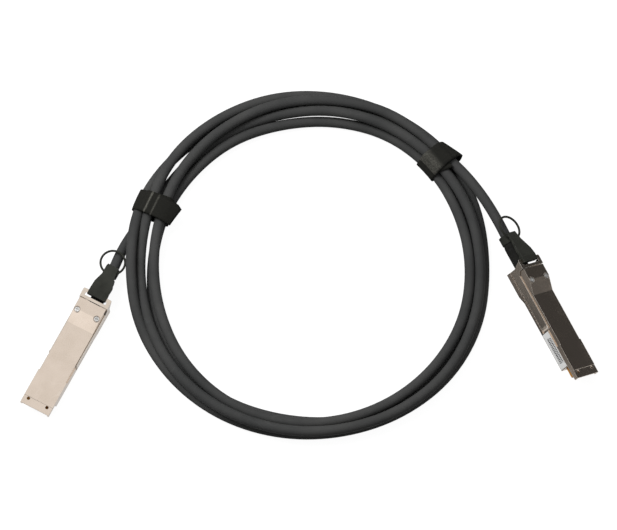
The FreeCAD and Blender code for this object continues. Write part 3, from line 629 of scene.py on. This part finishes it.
def metal(name, colour, dull, lighter, roughness, grain_depth, edge_radius=0.0002):
    """A plated or bare metal: its colour, its duller patches, the lighter colour of its scratches
    and edges (on the edges partly rubbed wear and partly a painted highlight), its lowest and
    highest roughness, the depth of its grain and the round on its edges."""
    material = bpy.data.materials.new(name)
    tree, shader, output = new_tree(material)
    grain = group(tree, grain_group, Grain_Scale=2600, Patch_Scale=95, Scratch_Scale=70)
    edges = group(tree, edge_group, Radius=edge_radius)
    patches = ranged(tree, grain.outputs["Patches"], *METAL_PATCHES)
    shade = mix_colours(tree, patches, colour, dull)
    scratches = ranged(tree, grain.outputs["Scratches"], 0, 1, 0, METAL_SCRATCHED)
    shade = mix_colours(tree, scratches, shade, lighter)
    # The edges take the lighter colour: partly rubbed wear, partly a painted highlight along
    # them.
    shade = mix_colours(tree, edges.outputs["Edge"], shade, lighter)
    tree.links.new(shade, shader.inputs["Base Color"])
    smoothness = ranged(tree, patches, 0, 1, *roughness)
    rubbed_roughness = ranged(tree, edges.outputs["Edge"], 0, 1, 0, EDGE_ROUGHNESS)
    softer = node(tree, "Math", {0: rubbed_roughness, 1: smoothness}, operation="MAXIMUM")
    tree.links.new(softer.outputs[0], shader.inputs["Roughness"])
    shader.inputs["Metallic"].default_value = 1
    bump(tree, shader, grain.outputs["Grain"], grain_depth, edges.outputs["Normal"])
    return material


def dress(name, material):
    """Gives a CAD node its finish."""
    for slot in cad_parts[name].material_slots:
        slot.material = material


# On the shells the paler edge colour is partly a painted highlight along the rims.
nickel = metal("bright_nickel", colour=(0.71, 0.605, 0.515), dull=(0.66, 0.56, 0.47),
               lighter=(0.83, 0.76, 0.68), roughness=(0.08, 0.13), grain_depth=0.0000002,
               edge_radius=0.00025)
# The screws' light edge colour paints the bright ring highlight round each head.
screw_zinc = metal("screw_zinc", colour=(0.9, 0.89, 0.87), dull=(0.55, 0.54, 0.52),
                   lighter=(0.95, 0.95, 0.94), roughness=(0.14, 0.28), grain_depth=0.000003,
                   edge_radius=0.0004)
for plug in "ab":
    dress("upper_shell_" + plug, nickel)
    dress("lower_shell_" + plug, nickel)
    dress("shell_screws_" + plug, screw_zinc)

# ---------------------------------------------------------------------------------------------
# Inside each nose: the glass-epoxy paddle card with its gold contacts and memory chip, the
# foil-wrapped pairs soldered to it, and the brass ferrule crimped on the cord's screen.
# ---------------------------------------------------------------------------------------------
CARD_DARK = (0.42, 0.19, 0.035)
CARD_PALE = (0.56, 0.27, 0.06)
CARD_EDGE = (0.55, 0.33, 0.11)
CARD_EDGE_RADIUS = 0.00012
CARD_ROUGHNESS = (0.3, 0.45)
CHIP_DARK = (0.010, 0.010, 0.011)
CHIP_PALE = (0.03, 0.03, 0.032)
CHIP_ROUGHNESS = (0.45, 0.6)
SHALLOW_GRAIN = 0.00001
card_laminate = bpy.data.materials.new("card_laminate")
tree, shader, output = new_tree(card_laminate)
grain = group(tree, grain_group, Grain_Scale=1500, Patch_Scale=220, Scratch_Scale=90)
edges = group(tree, edge_group, Radius=CARD_EDGE_RADIUS)
colour = mix_colours(tree, grain.outputs["Patches"], CARD_DARK, CARD_PALE)
colour = mix_colours(tree, edges.outputs["Edge"], colour, CARD_EDGE)
tree.links.new(colour, shader.inputs["Base Color"])
tree.links.new(ranged(tree, grain.outputs["Grain"], *NOISE_SPREAD, *CARD_ROUGHNESS),
               shader.inputs["Roughness"])
bump(tree, shader, grain.outputs["Grain"], SHALLOW_GRAIN, edges.outputs["Normal"])

chip_resin = bpy.data.materials.new("chip_resin")
tree, shader, output = new_tree(chip_resin)
grain = group(tree, grain_group, Grain_Scale=6000, Patch_Scale=400, Scratch_Scale=90)
colour = mix_colours(tree, grain.outputs["Grain"], CHIP_DARK, CHIP_PALE)
tree.links.new(colour, shader.inputs["Base Color"])
tree.links.new(ranged(tree, grain.outputs["Patches"], *NOISE_SPREAD, *CHIP_ROUGHNESS),
               shader.inputs["Roughness"])
bump(tree, shader, grain.outputs["Grain"], SHALLOW_GRAIN)

contact_gold = metal("contact_gold", colour=(0.86, 0.60, 0.22), dull=(0.76, 0.50, 0.17),
                     lighter=(0.95, 0.76, 0.4), roughness=(0.15, 0.3), grain_depth=0.000003,
                     edge_radius=0.00003)
pair_foil = metal("pair_foil", colour=(0.72, 0.73, 0.75), dull=(0.5, 0.51, 0.54),
                  lighter=(0.9, 0.9, 0.92), roughness=(0.25, 0.5), grain_depth=0.00003,
                  edge_radius=0.00005)
ferrule_brass = metal("ferrule_brass", colour=(0.72, 0.52, 0.24), dull=(0.55, 0.38, 0.16),
                      lighter=(0.9, 0.74, 0.42), roughness=(0.25, 0.45), grain_depth=0.00001)
for plug in "ab":
    dress("paddle_card_" + plug, card_laminate)
    dress("contact_pads_" + plug, contact_gold)
    dress("memory_chip_" + plug, chip_resin)
    dress("conductor_pairs_" + plug, pair_foil)
    dress("crimp_ferrule_" + plug, ferrule_brass)

# ---------------------------------------------------------------------------------------------
# The release: a slider folded from stainless sheet, pushed forward by two wire springs, and
# the flexible pull tab moulded round its bar, with a collar that slides on the cord and a ring.
# ---------------------------------------------------------------------------------------------
slider_steel = metal("slider_steel", colour=(0.70, 0.61, 0.52), dull=(0.62, 0.54, 0.46),
                     lighter=(0.93, 0.91, 0.87), roughness=(0.1, 0.16), grain_depth=0.0000002,
                     edge_radius=0.00025)
spring_steel = metal("spring_steel", colour=(0.5, 0.5, 0.51), dull=(0.36, 0.36, 0.37),
                     lighter=(0.8, 0.8, 0.8), roughness=(0.22, 0.35), grain_depth=0.000002,
                     edge_radius=0.00005)
MOULDING_SCRATCHED = 0.3
MOULDING_RUBBED = 0.7
MOULDING_SPECULAR = 0.04
MOULDING_GRAIN_DEPTH = 0.00003


def moulding(name, dark, pale, lighter, roughness, edge_radius):
    """A moulded plastic or rubber: its darker and paler patches, its rubbed edges, its lowest
    and highest roughness and the round on its edges."""
    material = bpy.data.materials.new(name)
    tree, shader, output = new_tree(material)
    grain = group(tree, grain_group, Grain_Scale=2800, Patch_Scale=120, Scratch_Scale=80)
    edges = group(tree, edge_group, Radius=edge_radius)
    shade = mix_colours(tree, ranged(tree, grain.outputs["Patches"], *NOISE_SPREAD), dark, pale)
    scratches = ranged(tree, grain.outputs["Scratches"], 0, 1, 0, MOULDING_SCRATCHED)
    shade = mix_colours(tree, scratches, shade, lighter)
    worn_edges = ranged(tree, edges.outputs["Edge"], 0, 1, 0, MOULDING_RUBBED)
    shade = mix_colours(tree, worn_edges, shade, lighter)
    tree.links.new(shade, shader.inputs["Base Color"])
    tree.links.new(ranged(tree, grain.outputs["Patches"], *NOISE_SPREAD, *roughness),
                   shader.inputs["Roughness"])
    shader.inputs["Specular IOR Level"].default_value = MOULDING_SPECULAR
    bump(tree, shader, grain.outputs["Grain"], MOULDING_GRAIN_DEPTH, edges.outputs["Normal"])
    return material


tab_plastic = moulding("tab_plastic", dark=(0.026, 0.027, 0.023), pale=(0.042, 0.043, 0.037),
                       lighter=(0.08, 0.082, 0.075), roughness=(0.45, 0.6), edge_radius=0.0003)
boot_rubber = moulding("boot_rubber", dark=(0.014, 0.014, 0.013), pale=(0.026, 0.026, 0.024),
                       lighter=(0.06, 0.06, 0.058), roughness=(0.55, 0.7), edge_radius=0.0003)
for plug in "ab":
    dress("release_slider_" + plug, slider_steel)
    dress("return_springs_" + plug, spring_steel)
    dress("pull_tab_" + plug, tab_plastic)
    dress("strain_relief_" + plug, boot_rubber)

# ---------------------------------------------------------------------------------------------
# The label on module B: a strip of white paper stuck along the side of the lower shell, with
# two rows of short grey bars and nothing to read.
# ---------------------------------------------------------------------------------------------
# The print lies between two places along the module and two heights, all in metres. A bar is
# one brick of a pattern drawn in millimetres.
PRINT_ALONG = (0.0125, 0.0292)
PRINT_ALONG_EDGE = 0.0005
PRINT_HEIGHT = (0.0014, 0.0050)
PRINT_HEIGHT_EDGE = 0.0002
BAR_WIDTH = 1.05
BAR_HEIGHT = 1.75
BAR_GAP = 0.17
PAPER_PALE = (0.80, 0.80, 0.79)
PAPER_GREY = (0.70, 0.70, 0.69)
PAPER_ROUGHNESS = (0.45, 0.6)
INK_DARK = (0.02, 0.02, 0.02, 1)
INK_PALE = (0.12, 0.12, 0.12, 1)
BARE_PAPER = (0.78, 0.78, 0.77, 1)
label_paper = bpy.data.materials.new("label_paper")
tree, shader, output = new_tree(label_paper)
module_place = node(tree, "TexCoord")
module_place = node(tree, "Mapping", {"Vector": module_place.outputs["Object"]},
                    vector_type="TEXTURE")
module_place.inputs["Location"].default_value = plug_matrix("b").translation
module_place.inputs["Rotation"].default_value = plug_matrix("b").to_euler("XYZ")
flat_place = node(tree, "SeparateXYZ", {0: module_place.outputs["Vector"]})
along, height = flat_place.outputs["Y"], flat_place.outputs["Z"]
bar_place = node(tree, "CombineXYZ", {"X": along, "Y": height})
bars = node(tree, "TexBrick", {"Vector": bar_place.outputs[0]},
            {"Scale": 1 / MILLIMETRE, "Brick Width": BAR_WIDTH, "Row Height": BAR_HEIGHT,
             "Mortar Size": BAR_GAP, "Mortar Smooth": 0.1, "Bias": 0.1})
bars.inputs["Color1"].default_value = INK_DARK
bars.inputs["Color2"].default_value = INK_PALE
bars.inputs["Mortar"].default_value = BARE_PAPER
after_start = ranged(tree, along, PRINT_ALONG[0], PRINT_ALONG[0] + PRINT_ALONG_EDGE)
before_end = ranged(tree, along, PRINT_ALONG[1], PRINT_ALONG[1] - PRINT_ALONG_EDGE)
above_foot = ranged(tree, height, PRINT_HEIGHT[0], PRINT_HEIGHT[0] + PRINT_HEIGHT_EDGE)
below_top = ranged(tree, height, PRINT_HEIGHT[1], PRINT_HEIGHT[1] - PRINT_HEIGHT_EDGE)
printed = node(tree, "Math", {0: after_start, 1: before_end}, operation="MULTIPLY")
printed = node(tree, "Math", {0: printed.outputs[0], 1: above_foot}, operation="MULTIPLY")
printed = node(tree, "Math", {0: printed.outputs[0], 1: below_top}, operation="MULTIPLY")
grain = group(tree, grain_group, Grain_Scale=3500, Patch_Scale=150, Scratch_Scale=60)
paper = mix_colours(tree, grain.outputs["Patches"], PAPER_PALE, PAPER_GREY)
colour = mix_colours(tree, printed.outputs[0], paper, bars.outputs["Color"])
tree.links.new(colour, shader.inputs["Base Color"])
tree.links.new(ranged(tree, grain.outputs["Grain"], *NOISE_SPREAD, *PAPER_ROUGHNESS),
               shader.inputs["Roughness"])
bump(tree, shader, grain.outputs["Grain"], SHALLOW_GRAIN)
dress("side_label_b", label_paper)
